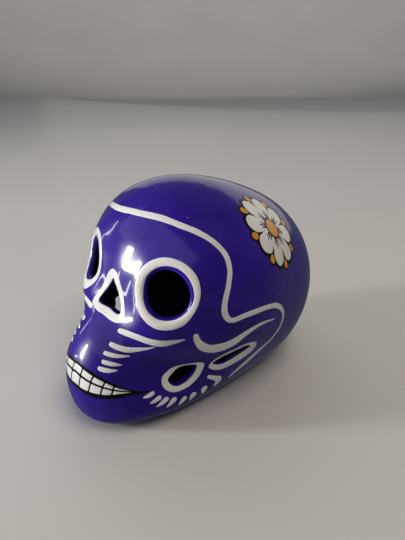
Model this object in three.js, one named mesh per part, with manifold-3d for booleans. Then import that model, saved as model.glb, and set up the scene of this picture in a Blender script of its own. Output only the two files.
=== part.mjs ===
// Hollow ceramic skull figure, one cast piece with seven openings through its wall.
// Millimetres. The face looks along -Y, +Z is up, and the figure's left side is +X.
// The origin lies under the middle of the bounding box, on the plane the figure stands on.

import * as THREE from 'three';
import { mergeVertices } from 'three/addons/utils/BufferGeometryUtils.js';
import Module from 'manifold-3d';

const wasm = await Module();
wasm.setup();

// Thickness of the cast wall and fineness of the facets
const WALL = 5;
const OUTER_DETAIL = 14;
const INNER_DETAIL = 9;
const SMALLEST_EDGE = 0.02;
const SAME_POINT = 0.005;

// Rounded lumps that melt together into the skull: centre, half sizes, forward lean in degrees
const CRANIUM = { centre: [0, 19.4, 45.8], half: [51.8, 60.7, 56.7], lean: -8.8 };
const BROW = { centre: [0, -12.8, 68.2], half: [54.4, 36.3, 40.8], lean: 0 };
const MUZZLE = { centre: [0, -61, 20], half: [25.8, 18.8, 30.6], lean: -6.5 };
const CHEEK = { centre: [22.2, -33.1, 51], half: [16.3, 21.2, 14.7], lean: 0 };
const JAW = { centre: [24, -27, 14.7], half: [14.2, 35.6, 14.7], lean: 0 };
const PALATE = { centre: [0, -34, 18], half: [22, 24, 18], lean: 0 };

// How far from a seam two lumps start to melt together
const BROW_BLEND = 31.1;
const CHEEK_BLEND = 14.4;
const MUZZLE_BLEND = 18.5;
const PALATE_BLEND = 10;
const FOOT_BLEND = 8;

// Point inside the cavity from which the whole wall can be seen
const HEART = [0, -8, 44];
const REACH = 110;
const BISECTIONS = 40;
const PROBE = 0.05;

// Rounded rim of each opening and how far its cutter runs in and out
const RIM = 1.8;
const RIM_EASE_DEPTH = 0.72;
const RIM_EASE_OUT = 0.54;
const CUT_IN = 13;
const CUT_OUT = 9;
const OUTLINE_STEPS = 30;
const EYE_STEPS = 40;

// Openings: middle on the wall, outward direction of the cut, outline across and up from the middle
// The eye of the far side sits a little nearer the nose
const EYE = { middle: [31.1, -45.1, 71.6], out: [0.46, -0.84, 0.29], radius: 10.6 };
const FAR_EYE = { middle: [-26.6, -47.3, 72], out: [-0.36, -0.88, 0.32], radius: 10.4 };
const NOSE = { middle: [0, -53.8, 60.4], out: [0, -0.94, 0.34] };
const NOSE_OUTLINE = [
  [0, 10.4], [1.4, 8.5], [9.2, -3], [8.6, -4.3],
  [0, -4.3], [-8.6, -4.3], [-9.2, -3], [-1.4, 8.5]
];
const CHEEK_HOLE = { middle: [35.1, -40.8, 26.8], out: [0.97, -0.2, 0.1] };
const CHEEK_OUTLINE = [
  [-6.1, -1], [-3.4, 2], [0.4, 4.7], [7.3, 3.8],
  [6.1, -0.1], [1.8, -3.4], [-3.1, -4.2]
];
const SLIT = { middle: [46.7, -17.2, 33.2], out: [0.86, -0.34, -0.39] };
const SLIT_OUTLINE = [
  [-9.3, -3.4], [-6.4, -1], [-2, 1.9], [5.8, 5.4],
  [8.9, 3.3], [0.6, -3.1], [-5.1, -5.1]
];

// The slit of the far side was cut lower, broader and slanting towards the back
const FAR_SLIT = { middle: [-42.9, -22, 27.6], out: [-0.76, 0.3, -0.56] };
const FAR_OUTLINE = [
  [8.4, -4.6], [9, 0.2], [3.6, 3.8], [-4.4, 5.8],
  [-9.4, 4.4], [-7.2, 0], [-1.4, -4.2], [4.4, -6.4]
];

const GLAZE = new THREE.MeshStandardMaterial({
  name: 'painted_clay',
  color: 0x2b1f8c,
  roughness: 0.15,
  metalness: 0
});

// Nearly the distance from a point to the skin of one lump, negative inside it
function lumpDistance(x, y, z, lump) {
  const lean = THREE.MathUtils.degToRad(lump.lean);
  const dy = y - lump.centre[1];
  const dz = z - lump.centre[2];
  const a = (x - lump.centre[0]) / lump.half[0];
  const b = (dy * Math.cos(lean) + dz * Math.sin(lean)) / lump.half[1];
  const c = (dz * Math.cos(lean) - dy * Math.sin(lean)) / lump.half[2];
  const scaled = Math.hypot(a, b, c);
  const slope = Math.hypot(a / lump.half[0], b / lump.half[1], c / lump.half[2]);
  return slope > 0 ? (scaled * (scaled - 1)) / slope : -Math.min(...lump.half);
}

// Lower of two distances with a soft fillet where they meet
function melt(a, b, blend) {
  const near = Math.max(blend - Math.abs(a - b), 0) / blend;
  return Math.min(a, b) - (near * near * blend) / 4;
}

// Nearly the distance from a point to the outer skin of the skull, negative inside it
function skullDistance(x, y, z) {
  const side = Math.abs(x);
  let skin = melt(lumpDistance(x, y, z, CRANIUM), lumpDistance(x, y, z, BROW), BROW_BLEND);
  skin = melt(skin, lumpDistance(side, y, z, CHEEK), CHEEK_BLEND);
  const jaws = melt(lumpDistance(x, y, z, MUZZLE), lumpDistance(side, y, z, JAW), CHEEK_BLEND);
  skin = melt(skin, jaws, MUZZLE_BLEND);
  skin = melt(skin, lumpDistance(x, y, z, PALATE), PALATE_BLEND);
  return -melt(-skin, z, FOOT_BLEND);
}

// Unit vector square to the outer skin at a point on it, pointing out
function outward(point) {
  const rise = new THREE.Vector3(
    skullDistance(point.x + PROBE, point.y, point.z) - skullDistance(point.x - PROBE, point.y, point.z),
    skullDistance(point.x, point.y + PROBE, point.z) - skullDistance(point.x, point.y - PROBE, point.z),
    skullDistance(point.x, point.y, point.z + PROBE) - skullDistance(point.x, point.y, point.z - PROBE)
  );
  return rise.normalize();
}

// Point of the outer skin that one direction from the heart meets
function skinPoint(direction) {
  const point = new THREE.Vector3();
  let low = 0;
  let high = REACH;
  for (let i = 0; i < BISECTIONS; i++) {
    const middle = (low + high) / 2;
    point.set(...HEART).addScaledVector(direction, middle);
    if (skullDistance(point.x, point.y, point.z) < 0) {
      low = middle;
    } else {
      high = middle;
    }
  }
  return point;
}

// Closed skin at a depth under the outer one, from a ball of facets drawn out to it
function skinGeometry(detail, depth) {
  const ball = new THREE.IcosahedronGeometry(1, detail);
  const position = ball.getAttribute('position');
  const direction = new THREE.Vector3();
  for (let i = 0; i < position.count; i++) {
    direction.fromBufferAttribute(position, i).normalize();
    const point = skinPoint(direction);
    if (depth > 0) {
      point.addScaledVector(outward(point), -depth);
    }
    position.setXYZ(i, point.x, point.y, point.z);
  }
  return ball;
}

// Solid from a closed three.js geometry
function solid(geometry) {
  const bare = geometry.clone();
  bare.deleteAttribute('normal');
  bare.deleteAttribute('uv');
  const merged = mergeVertices(bare, SAME_POINT);
  const mesh = new wasm.Mesh({
    numProp: 3,
    vertProperties: Float32Array.from(merged.getAttribute('position').array),
    triVerts: Uint32Array.from(merged.getIndex().array)
  });
  return new wasm.Manifold(mesh);
}

// Smooth closed outline through a few points given across and up
function smoothOutline(points) {
  const knots = points.map(([across, up]) => new THREE.Vector3(across, up, 0));
  const curve = new THREE.CatmullRomCurve3(knots, true, 'centripetal');
  return curve.getSpacedPoints(OUTLINE_STEPS).slice(0, OUTLINE_STEPS);
}

function circleOutline(radius) {
  const outline = [];
  for (let i = 0; i < EYE_STEPS; i++) {
    const turn = (2 * Math.PI * i) / EYE_STEPS;
    outline.push(new THREE.Vector3(radius * Math.cos(turn), radius * Math.sin(turn), 0));
  }
  return outline;
}

function signedArea(outline) {
  let area = 0;
  outline.forEach((point, i) => {
    const next = outline[(i + 1) % outline.length];
    area += (point.x * next.y - next.x * point.y) / 2;
  });
  return area;
}

// Outline grown outwards by a margin
function grown(outline, margin) {
  return outline.map((point, i) => {
    const before = outline[(i + outline.length - 1) % outline.length];
    const after = outline[(i + 1) % outline.length];
    const along = after.clone().sub(before).normalize();
    return new THREE.Vector3(point.x + along.y * margin, point.y - along.x * margin, 0);
  });
}

// Frame of an opening: across lies level, up is square to it, and out points away from the wall
function openingFrame(opening) {
  const out = new THREE.Vector3(...opening.out).normalize();
  const up = new THREE.Vector3(0, 0, 1);
  const across = new THREE.Vector3().crossVectors(up, out).normalize();
  up.crossVectors(out, across);
  const frame = new THREE.Matrix4().makeBasis(across, up, out);
  return frame.setPosition(new THREE.Vector3(...opening.middle));
}

// Plug through the wall: straight inside, flared like a trumpet past the rim
function plug(opening, outline) {
  const turned = signedArea(outline) > 0 ? outline : outline.slice().reverse();
  const layers = [
    { depth: -CUT_IN, margin: 0 },
    { depth: -RIM, margin: 0 },
    { depth: -RIM_EASE_DEPTH, margin: RIM_EASE_OUT },
    { depth: CUT_OUT, margin: RIM_EASE_OUT + CUT_OUT + RIM_EASE_DEPTH }
  ];
  const count = turned.length;
  const vertices = [];
  layers.forEach((layer) => {
    grown(turned, layer.margin).forEach((point) => vertices.push(point.x, point.y, layer.depth));
  });
  const faces = [];
  for (let row = 0; row < layers.length - 1; row++) {
    for (let i = 0; i < count; i++) {
      const a = row * count + i;
      const b = row * count + ((i + 1) % count);
      faces.push(a, b, b + count, a, b + count, a + count);
    }
  }
  const flat = turned.map((point) => new THREE.Vector2(point.x, point.y));
  const lid = THREE.ShapeUtils.triangulateShape(flat, []);
  const top = (layers.length - 1) * count;
  lid.forEach(([a, b, c]) => {
    faces.push(a, c, b);
    faces.push(top + a, top + b, top + c);
  });
  const geometry = new THREE.BufferGeometry();
  geometry.setAttribute('position', new THREE.Float32BufferAttribute(vertices, 3));
  geometry.setIndex(faces);
  return geometry.applyMatrix4(openingFrame(opening));
}

// The same plug on the other side of the skull
function mirrored(geometry) {
  const other = geometry.clone().applyMatrix4(new THREE.Matrix4().makeScale(-1, 1, 1));
  const index = other.getIndex();
  for (let i = 0; i < index.count; i += 3) {
    const first = index.getX(i);
    index.setX(i, index.getX(i + 1));
    index.setX(i + 1, first);
  }
  return other;
}

function skullSolid() {
  let skull = solid(skinGeometry(OUTER_DETAIL, 0)).subtract(solid(skinGeometry(INNER_DETAIL, WALL)));
  const cheekHole = plug(CHEEK_HOLE, smoothOutline(CHEEK_OUTLINE));
  const plugs = [
    plug(EYE, circleOutline(EYE.radius)),
    plug(FAR_EYE, circleOutline(FAR_EYE.radius)),
    cheekHole,
    mirrored(cheekHole),
    plug(NOSE, smoothOutline(NOSE_OUTLINE)),
    plug(SLIT, smoothOutline(SLIT_OUTLINE)),
    plug(FAR_SLIT, smoothOutline(FAR_OUTLINE))
  ];
  plugs.forEach((opening) => {
    skull = skull.subtract(solid(opening));
  });
  return skull.simplify(SMALLEST_EDGE);
}

// Flat shaded three.js mesh from a solid
function toMesh(name, body, material) {
  const data = body.getMesh();
  const geometry = new THREE.BufferGeometry();
  const corners = Float32Array.from(data.vertProperties);
  geometry.setAttribute('position', new THREE.Float32BufferAttribute(corners, 3));
  geometry.setIndex(Array.from(data.triVerts));
  geometry.computeVertexNormals();
  const mesh = new THREE.Mesh(geometry, material);
  mesh.name = name;
  return mesh;
}

const figure = new THREE.Group();
figure.name = 'ceramic_skull_figure';
figure.add(toMesh('skull', skullSolid(), GLAZE));

export default figure;
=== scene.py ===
"""Hollow clay skull figure with its hand-painted face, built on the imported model's frame.

Sizes of the figure are in millimetres, and its meshes are turned to metres when they are made.
The face looks along -Y, +Z is up, and the figure's left side is +X.
"""

import logging
import math
from dataclasses import dataclass, field, replace
from enum import Enum
from functools import lru_cache
from typing import Callable, Sequence

import bmesh
import bpy
import numpy as np
from mathutils import Matrix, Vector


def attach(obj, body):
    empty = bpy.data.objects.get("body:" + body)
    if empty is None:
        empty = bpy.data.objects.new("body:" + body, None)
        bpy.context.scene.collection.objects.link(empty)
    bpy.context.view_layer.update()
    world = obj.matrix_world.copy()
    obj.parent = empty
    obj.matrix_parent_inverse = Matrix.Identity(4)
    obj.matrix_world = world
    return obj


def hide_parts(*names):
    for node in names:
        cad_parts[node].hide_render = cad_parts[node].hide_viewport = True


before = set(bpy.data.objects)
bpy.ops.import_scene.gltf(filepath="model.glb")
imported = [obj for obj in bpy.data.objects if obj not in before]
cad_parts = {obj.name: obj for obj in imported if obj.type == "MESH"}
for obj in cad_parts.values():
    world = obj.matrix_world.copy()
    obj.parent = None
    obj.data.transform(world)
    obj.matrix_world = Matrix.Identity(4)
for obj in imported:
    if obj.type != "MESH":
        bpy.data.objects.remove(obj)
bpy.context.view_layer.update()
LOG = logging.getLogger("skull_figure")

MM = 0.001
WALL = 5.0
# The bearings and rises of the painting are angles seen from the heart of the skull.
HEART = (0.0, -8.0, 44.0)
# The outer skin lies between these distances from the heart.
NEAREST_SKIN = 11.0
FARTHEST_SKIN = 110.0
BISECTIONS = 34
PROBE = 0.05
# A cutter reaches so far into the clay and out of it.
CUT_IN = 13.0
CUT_OUT = 9.0
FAR_AWAY = 60.0
# The wall of a hole is felt no farther from it than so many times the rounding of its rim.
RIM_REACH = 3.0
# The middles of the two eyes and the directions that they look in.
EYE_MIDDLE = (31.1, -45.1, 71.6)
EYE_OUT = (0.46, -0.84, 0.29)
FAR_EYE_MIDDLE = (-26.6, -47.3, 72.0)
FAR_EYE_OUT = (-0.36, -0.88, 0.32)
# Points of a smooth curve between two knots: at the edge of a hole, of a band, and along a stroke.
EDGE_STEPS = 5
BAND_STEPS = 12
STROKE_STEPS = 10
# Guards against two knots in one place and against a division by zero.
LEAST_GAP = 1e-4
TINY = 1e-9
# Shader values often run over the whole span from none to full.
WHOLE = (0.0, 1.0)
# Blender's Mix node keeps its colours at these places among its sockets.
MIX_FIRST, MIX_SECOND, MIX_RESULT = 6, 7, 2
# Spacing of the nodes in the editor, and how many rows they stand in.
NODE_COLUMN = 180.0
NODE_ROW = 160.0
NODE_ROWS = 3

Pair = tuple[float, float]
Triple = tuple[float, float, float]
Socket = bpy.types.NodeSocket


class Paint(Enum):
    """Paints on the figure, in the order of its material slots."""

    PURPLE = 0
    WHITE = 1
    BLACK = 2
    GOLD = 3


def melt(first: np.ndarray, second: np.ndarray, blend: float) -> np.ndarray:
    """Take the lower of two distances, with a soft fillet where they meet.

    Args:
        first: one distance for each point.
        second: the other distance for each point.
        blend: how far from the seam the fillet starts.

    Returns:
        The melted distance for each point.
    """
    near = np.maximum(blend - np.abs(first - second), 0.0) / blend
    return np.minimum(first, second) - near * near * blend / 4.0


def unit(vectors: np.ndarray) -> np.ndarray:
    """Scale each row to length one."""
    lengths = np.linalg.norm(vectors, axis=-1, keepdims=True)
    return vectors / np.maximum(lengths, TINY)


def closed_curve(knots: Sequence[Pair], steps: int) -> np.ndarray:
    """Draw a smooth closed curve through a few points.

    Args:
        knots: points of the curve, in order.
        steps: number of points between two neighbours.

    Returns:
        Points of the curve, one row each.
    """
    knots = np.array(knots, float)
    parts = []
    for index in range(len(knots)):
        four = [knots[(index + shift) % len(knots)] for shift in (-1, 0, 1, 2)]
        parts.append(curve_piece(four, steps))
    return np.concatenate(parts)


def open_curve(knots: Sequence[Sequence[float]], steps: int) -> np.ndarray:
    """Draw a smooth open curve through a few points of any dimension.

    Args:
        knots: points of the curve, in order.
        steps: number of points between two neighbours.

    Returns:
        Points of the curve, one row each, with both ends.
    """
    knots = np.array(knots, float)
    padded = np.vstack([2 * knots[0] - knots[1], knots, 2 * knots[-1] - knots[-2]])
    parts = [curve_piece(padded[index:index + 4], steps) for index in range(len(knots) - 1)]
    parts.append(knots[-1:])
    return np.concatenate(parts)


def flipped(outline: tuple[Pair, ...]) -> tuple[Pair, ...]:
    """Return an outline as it lies on the other side of the skull."""
    return tuple((-across, up) for across, up in reversed(outline))


def curve_piece(four: Sequence[np.ndarray], steps: int) -> np.ndarray:
    """Fill one stretch of a centripetal spline.

    Args:
        four: the knots before, at the start, at the end and after the stretch.
        steps: number of points, without the end of the stretch.

    Returns:
        Points of the stretch, one row each.
    """
    a, b, c, d = (np.asarray(knot, float) for knot in four)
    gaps = [max(np.linalg.norm(q - p) ** 0.5, LEAST_GAP) for p, q in ((a, b), (b, c), (c, d))]
    t0, t1, t2, t3 = 0.0, gaps[0], gaps[0] + gaps[1], sum(gaps)
    t = np.linspace(t1, t2, steps, endpoint=False)[:, None]
    ab = ((t1 - t) * a + (t - t0) * b) / (t1 - t0)
    bc = ((t2 - t) * b + (t - t1) * c) / (t2 - t1)
    cd = ((t3 - t) * c + (t - t2) * d) / (t3 - t2)
    abc = ((t2 - t) * ab + (t - t0) * bc) / (t2 - t0)
    bcd = ((t3 - t) * bc + (t - t1) * cd) / (t3 - t1)
    return ((t2 - t) * abc + (t - t1) * bcd) / (t2 - t1)


@dataclass(frozen=True)
class Lump:
    """One rounded mass of clay in the shape of an egg.

    A paired lump stands on both sides of the middle plane.
    """

    centre: Triple
    half: Triple
    lean: float = 0.0
    paired: bool = False

    def distance(self, points: np.ndarray) -> np.ndarray:
        """Measure how far points lie from the lump's skin.

        Args:
            points: one point in each row.

        Returns:
            Nearly the distance of each point, negative inside the lump.
        """
        x = np.abs(points[:, 0]) if self.paired else points[:, 0]
        lean = math.radians(self.lean)
        dy = points[:, 1] - self.centre[1]
        dz = points[:, 2] - self.centre[2]
        a = (x - self.centre[0]) / self.half[0]
        b = (dy * math.cos(lean) + dz * math.sin(lean)) / self.half[1]
        c = (dz * math.cos(lean) - dy * math.sin(lean)) / self.half[2]
        scaled = np.sqrt(a * a + b * b + c * c)
        slope = np.sqrt((a / self.half[0]) ** 2 + (b / self.half[1]) ** 2 + (c / self.half[2]) ** 2)
        return scaled * (scaled - 1.0) / np.maximum(slope, TINY)


@dataclass(frozen=True)
class Ridge:
    """Low round swelling of the clay about an eye."""

    middle: Triple
    out: Triple
    radius: float = 15.0
    height: float = 0.7
    breadth: float = 4.0
    deepest: float = 15.0

    def lift(self, points: np.ndarray) -> np.ndarray:
        """Return how much higher the skin lies at each point."""
        offset = points - np.array(self.middle)
        out = unit(np.array(self.out))
        above = offset @ out
        radius = np.linalg.norm(offset - above[:, None] * out, axis=-1)
        swell = self.height * np.exp(-(((radius - self.radius) / self.breadth) ** 2))
        return np.where(above > -self.deepest, swell, 0.0)


@dataclass(frozen=True)
class SkullForm:
    """Outer form of the skull, made of lumps that melt together and a ridge about each eye."""

    ridges: tuple[Ridge, ...] = (Ridge(EYE_MIDDLE, EYE_OUT), Ridge(FAR_EYE_MIDDLE, FAR_EYE_OUT))
    cranium: Lump = Lump((0.0, 19.4, 45.8), (51.8, 60.7, 56.7), -8.8)
    brow: Lump = Lump((0.0, -12.8, 68.2), (54.4, 36.3, 40.8))
    muzzle: Lump = Lump((0.0, -61.0, 20.0), (25.8, 18.8, 30.6), -6.5)
    cheek: Lump = Lump((22.2, -33.1, 51.0), (16.3, 21.2, 14.7), paired=True)
    jaw: Lump = Lump((24.0, -27.0, 14.7), (14.2, 35.6, 14.7), paired=True)
    palate: Lump = Lump((0.0, -34.0, 18.0), (22.0, 24.0, 18.0))
    brow_blend: float = 31.1
    cheek_blend: float = 14.4
    muzzle_blend: float = 18.5
    palate_blend: float = 10.0
    foot_blend: float = 8.0

    def distance(self, points: np.ndarray) -> np.ndarray:
        """Return nearly the distance of each point from the outer skin, negative inside."""
        skin = melt(self.cranium.distance(points), self.brow.distance(points), self.brow_blend)
        skin = melt(skin, self.cheek.distance(points), self.cheek_blend)
        jaws = melt(self.muzzle.distance(points), self.jaw.distance(points), self.cheek_blend)
        skin = melt(skin, jaws, self.muzzle_blend)
        skin = melt(skin, self.palate.distance(points), self.palate_blend)
        for ridge in self.ridges:
            skin = skin - ridge.lift(points)
        return -melt(-skin, points[:, 2], self.foot_blend)

    def depth(self, points: np.ndarray) -> tuple[np.ndarray, np.ndarray]:
        """Measure how far points lie from the outer skin.

        Args:
            points: one point in each row.

        Returns:
            The distance of each point, negative inside, and the outward direction there.
        """
        slopes = []
        for step in np.eye(3) * PROBE:
            slopes.append((self.distance(points + step) - self.distance(points - step)) / (2 * PROBE))
        slope = np.stack(slopes, axis=-1)
        steepness = np.maximum(np.linalg.norm(slope, axis=-1), TINY)
        return self.distance(points) / steepness, slope / steepness[:, None]

    def reach(self, directions: np.ndarray, under: float = 0.0) -> np.ndarray:
        """Go from the heart of the skull out to its skin.

        Args:
            directions: unit vector in each row.
            under: how far under the outer skin to stop.

        Returns:
            The point that each direction meets.
        """
        heart = np.array(HEART)
        low = np.full(len(directions), NEAREST_SKIN)
        high = np.full(len(directions), FARTHEST_SKIN)
        for _ in range(BISECTIONS):
            middle = (low + high) / 2.0
            points = heart + middle[:, None] * directions
            value = self.depth(points)[0] if under > 0.0 else self.distance(points)
            inside = value + under < 0.0
            low = np.where(inside, middle, low)
            high = np.where(inside, high, middle)
        return heart + low[:, None] * directions

    def seen_at(self, bearings: np.ndarray, rises: np.ndarray) -> np.ndarray:
        """Return the skin points seen from the heart at these angles, in degrees."""
        turn = np.radians(bearings)
        lift = np.radians(rises)
        flat = np.cos(lift)
        directions = np.stack([np.sin(turn) * flat, -np.cos(turn) * flat, np.sin(lift)], axis=-1)
        return self.reach(directions)

    def settle(self, points: np.ndarray, rounds: int = 4) -> np.ndarray:
        """Move points the short way onto the outer skin."""
        for _ in range(rounds):
            distance, outward = self.depth(points)
            points = points - distance[:, None] * outward
        return points


@dataclass(frozen=True)
class Opening:
    """Hole that was cut through the clay wall while it was soft.

    The outline runs across and up from the middle, as seen from outside.
    """

    name: str
    middle: Triple
    out: Triple
    outline: tuple[Pair, ...]
    rounding: float
    smooth: bool = True

    @lru_cache(maxsize=64)
    def axes(self) -> np.ndarray:
        """Return the rows across, up and out of the opening's own frame."""
        out = unit(np.array(self.out))
        across = unit(np.cross((0.0, 0.0, 1.0), out))
        return np.stack([across, np.cross(out, across), out])

    @lru_cache(maxsize=64)
    def edge(self) -> np.ndarray:
        """Return the closed edge of the hole in its own plane."""
        if not self.smooth:
            return np.array(self.outline)
        return closed_curve(self.outline, EDGE_STEPS)

    def mirrored(self, name: str) -> "Opening":
        """Return the same hole on the other side of the skull."""
        middle = (-self.middle[0], self.middle[1], self.middle[2])
        out = (-self.out[0], self.out[1], self.out[2])
        return replace(self, name=name, middle=middle, out=out, outline=flipped(self.outline))

    def local(self, points: np.ndarray) -> np.ndarray:
        """Return points in the opening's own frame: across, up and out."""
        return (points - np.array(self.middle)) @ self.axes().T

    def world(self, points: np.ndarray) -> np.ndarray:
        """Return points of the opening's own frame in the frame of the skull."""
        return points @ self.axes() + np.array(self.middle)

    def clearance(self, points: np.ndarray) -> tuple[np.ndarray, np.ndarray]:
        """Measure how far points lie from the wall of the hole.

        Args:
            points: one point in each row.

        Returns:
            The distance of each point, negative in the hole, and the direction away from it.
        """
        own = self.local(points)
        distance = np.full(len(points), FAR_AWAY)
        away = np.zeros((len(points), 3))
        edge = self.edge()
        span = np.abs(edge).max() + RIM_REACH * self.rounding
        within = (np.abs(own[:, :2]).max(axis=1) < span) & (own[:, 2] > -CUT_IN) & (own[:, 2] < CUT_OUT)
        if within.any():
            gap, direction = from_loop(own[within, :2], edge)
            distance[within] = gap
            away[within] = direction @ self.axes()[:2]
        return distance, away

    def plug(self) -> bmesh.types.BMesh:
        """Make the solid that cuts the hole, in metres."""
        bm = bmesh.new()
        edge = self.edge()
        low = np.column_stack([edge, np.full(len(edge), -CUT_IN)])
        corners = [bm.verts.new(Vector(point) * MM) for point in self.world(low)]
        floor = bm.faces.new(corners)
        lifted = bmesh.ops.extrude_face_region(bm, geom=[floor])["geom"]
        top = [item for item in lifted if isinstance(item, bmesh.types.BMVert)]
        bmesh.ops.translate(bm, verts=top, vec=Vector(self.axes()[2]) * (CUT_IN + CUT_OUT) * MM)
        bmesh.ops.recalc_face_normals(bm, faces=bm.faces)
        return bm


def from_loop(points: np.ndarray, loop: np.ndarray) -> tuple[np.ndarray, np.ndarray]:
    """Measure how far flat points lie from a closed loop.

    Args:
        points: one flat point in each row.
        loop: corners of the loop in order.

    Returns:
        The distance of each point, negative inside, and the unit direction away from the loop's inside.
    """
    start = loop
    along = np.roll(loop, -1, axis=0) - start
    offset = points[:, None, :] - start[None]
    share = np.clip((offset * along).sum(-1) / (along * along).sum(-1), 0.0, 1.0)
    gaps = offset - share[..., None] * along
    lengths = np.linalg.norm(gaps, axis=-1)
    nearest = lengths.argmin(axis=1)
    row = np.arange(len(points))
    end = start + along
    rising = (start[:, 1] <= points[:, None, 1]) & (end[:, 1] > points[:, None, 1])
    falling = (end[:, 1] <= points[:, None, 1]) & (start[:, 1] > points[:, None, 1])
    side = along[:, 0] * offset[..., 1] - along[:, 1] * offset[..., 0]
    winding = (rising & (side > 0)).sum(1) - (falling & (side < 0)).sum(1)
    sign = np.where(winding != 0, -1.0, 1.0)
    return sign * lengths[row, nearest], sign[:, None] * unit(gaps[row, nearest])


def circle(radius: float, count: int = 40) -> tuple[Pair, ...]:
    """Return the corners of a round outline."""
    turns = [2.0 * math.pi * index / count for index in range(count)]
    return tuple((radius * math.cos(turn), radius * math.sin(turn)) for turn in turns)


EYE = Opening("left_eye", EYE_MIDDLE, EYE_OUT, circle(10.6), 3.2, smooth=False)
FAR_EYE = Opening("right_eye", FAR_EYE_MIDDLE, FAR_EYE_OUT, circle(10.4), 3.2, smooth=False)
NOSE = Opening(
    "nose", (0.0, -53.8, 60.4), (0.0, -0.94, 0.34),
    ((0.0, 10.4), (1.4, 8.5), (9.2, -3.0), (8.6, -4.3),
     (0.0, -4.3), (-8.6, -4.3), (-9.2, -3.0), (-1.4, 8.5)),
    0.8,
)
CHEEK_HOLE = Opening(
    "left_cheek_hole", (35.1, -40.8, 26.8), (0.97, -0.2, 0.1),
    ((-6.1, -1.0), (-3.4, 2.0), (0.4, 4.7), (7.3, 3.8), (6.1, -0.1), (1.8, -3.4), (-3.1, -4.2)),
    1.6,
)
FAR_CHEEK_HOLE = CHEEK_HOLE.mirrored("right_cheek_hole")
SLIT = Opening(
    "left_slit", (46.7, -17.2, 33.2), (0.86, -0.34, -0.39),
    ((-9.3, -3.4), (-6.4, -1.0), (-2.0, 1.9), (5.8, 5.4), (8.9, 3.3), (0.6, -3.1), (-5.1, -5.1)),
    1.4,
)
FAR_SLIT = Opening(
    "right_slit", (-42.9, -22.0, 27.6), (-0.76, 0.3, -0.56),
    ((8.4, -4.6), (9.0, 0.2), (3.6, 3.8), (-4.4, 5.8), (-9.4, 4.4), (-7.2, 0.0), (-1.4, -4.2), (4.4, -6.4)),
    1.4,
)


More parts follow.
